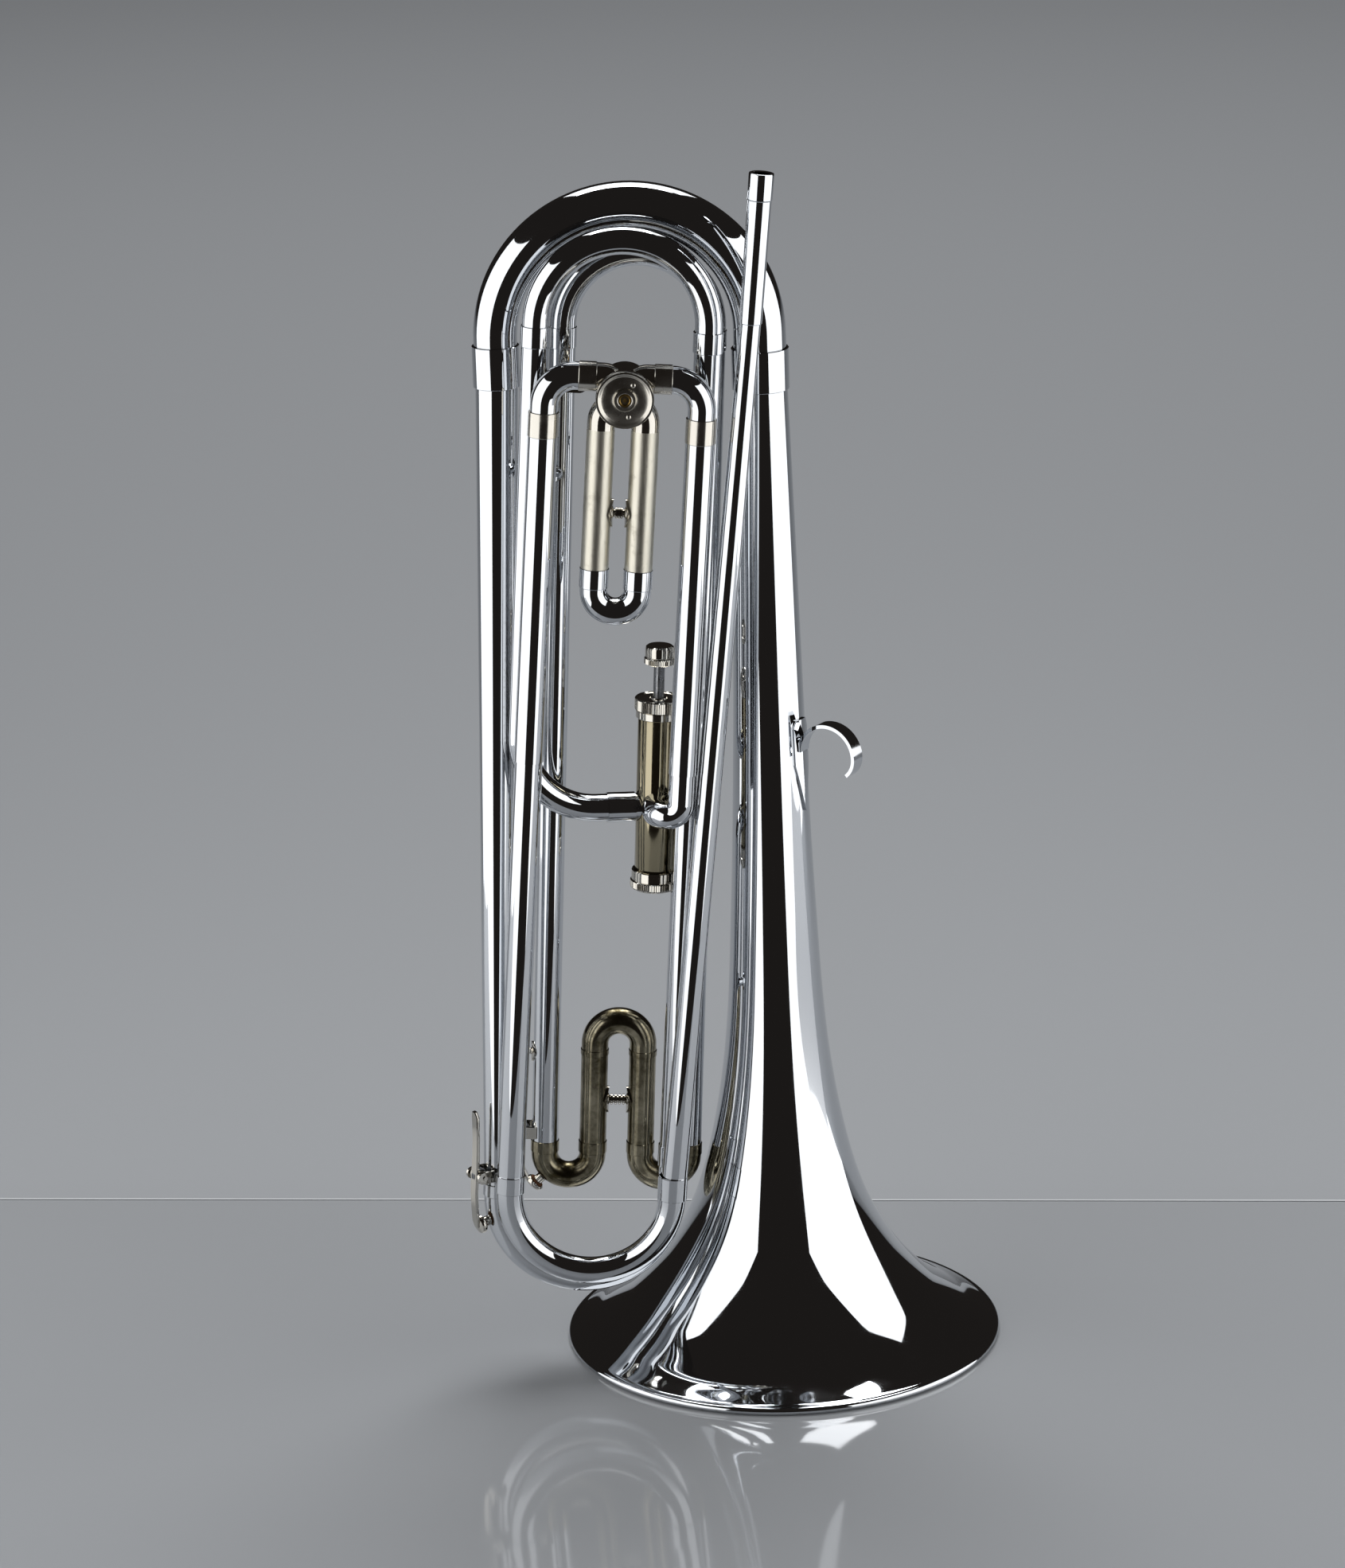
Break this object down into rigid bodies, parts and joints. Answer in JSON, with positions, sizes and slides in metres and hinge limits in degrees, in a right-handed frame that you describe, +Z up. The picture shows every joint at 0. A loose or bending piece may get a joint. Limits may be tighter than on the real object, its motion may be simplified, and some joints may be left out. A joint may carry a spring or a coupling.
{
  "type": "french horn bugle",
  "caption": "Chromed marching French horn bugle, bell down, with a piston valve, a rotary valve, pull slides and water keys.",
  "frame": {"origin": "centre of the bell mouth in the plane of its rim", "axes": "+Z up the bell axis towards the mouthpiece end, viewer and valve face at -Y, tubing at -X"},
  "size_m": [0.263, 0.216, 0.5955],
  "materials": {
    "chrome": "polished",
    "nickel-silver": "satin",
    "nickel": "tarnished",
    "brass": "satin",
    "cork": "matte",
    "felt": "matte",
    "steel": "satin"
  },
  "bodies": {
    "horn": {"bell": "chrome", "bell_rim_wire": "steel", "top_bow": "chrome", "branch_ferrules": "chrome", "branch_tube": "chrome", "rear_bottom_bow": "chrome", "rear_bow_ferrules": "chrome", "outlet_tube": "chrome", "tuning_right_tube": "chrome", "tuning_leg_ferrules": "chrome", "loop_top_bow": "chrome", "loop_ferrules": "nickel", "loop_left_tube": "chrome", "loop_right_tube": "chrome", "loop_riser_tube": "chrome", "loop_u_bends": "nickel", "loop_slide_sleeves": "nickel", "leadpipe": "chrome", "mouthpiece_receiver": "chrome", "front_bottom_bow": "chrome", "front_ferrules": "chrome", "front_left_tube": "chrome", "front_right_tube": "chrome", "front_sleeves": "chrome", "rotor_elbows": "chrome", "rotor_port_ferrules": "chrome", "piston_inlet_knuckle": "chrome", "rotor_casing": "nickel", "rotor_front_cap": "nickel", "rotor_front_bearing": "brass", "rotor_back_plate": "nickel", "stop_posts": "nickel", "stop_corks": "cork", "rotor_slide_sleeves": "nickel-silver", "piston_casing": "nickel", "piston_top_cap": "nickel", "piston_bottom_cap": "nickel", "piston_spring": "steel", "port_ferrules": "chrome", "finger_hook": "chrome", "slide_braces": "nickel", "tube_braces": "chrome", "water_key_mounts": "nickel"},
    "piston": {"piston": "nickel-silver", "piston_stem": "steel", "stem_felt": "felt", "finger_button": "nickel"},
    "rotor": {"rotor": "brass", "rotor_thumb_lever": "nickel"},
    "rotor_slide": {"rotor_slide_bow": "chrome", "rotor_slide_legs": "nickel-silver"},
    "loop_slide": {"loop_slide_bow": "nickel", "loop_slide_legs": "nickel-silver"},
    "tuning_slide": {"tuning_slide_bow": "chrome", "tuning_slide_legs": "nickel-silver"},
    "branch_key": {"branch_water_key": "nickel", "branch_water_key_cork": "cork"},
    "loop_key": {"loop_water_key": "nickel", "loop_water_key_cork": "cork"}
  },
  "joints": [
    {"name": "piston_stroke", "type": "slide", "parent": "horn", "child": "piston", "axis": [-0.0558, 0, -0.9984], "range_m": [0, 0.015], "stiffness_N_per_m": 160, "springref_m": -0.012, "deforming": ["piston_spring"]},
    {"name": "rotor_turn", "type": "hinge", "parent": "horn", "child": "rotor", "pos_m": [-0.06458, -0.038, 0.49218], "axis": [0, 1, 0], "range_deg": [0, 90]},
    {"name": "rotor_slide_pull", "type": "slide", "parent": "horn", "child": "rotor_slide", "axis": [-0.0785, 0, -0.9969], "range_m": [0, 0.05]},
    {"name": "loop_slide_pull", "type": "slide", "parent": "horn", "child": "loop_slide", "axis": [0.0558, 0, 0.9984], "range_m": [0, 0.04]},
    {"name": "tuning_slide_pull", "type": "slide", "parent": "horn", "child": "tuning_slide", "axis": [0.0698, 0, 0.9976], "range_m": [0, 0.055]},
    {"name": "branch_key_press", "type": "hinge", "parent": "horn", "child": "branch_key", "pos_m": [-0.14855, -0.03008, 0.0993], "axis": [-0.5754, 0.8169, 0.0402], "range_deg": [0, 12], "stiffness_Nm_per_rad": 0.05, "springref_deg": -20.05},
    {"name": "loop_key_press", "type": "hinge", "parent": "horn", "child": "loop_key", "pos_m": [-0.12742, 0.001, 0.11069], "axis": [0, 1, 0], "range_deg": [0, 12], "stiffness_Nm_per_rad": 0.05, "springref_deg": -20.05}
  ]
}
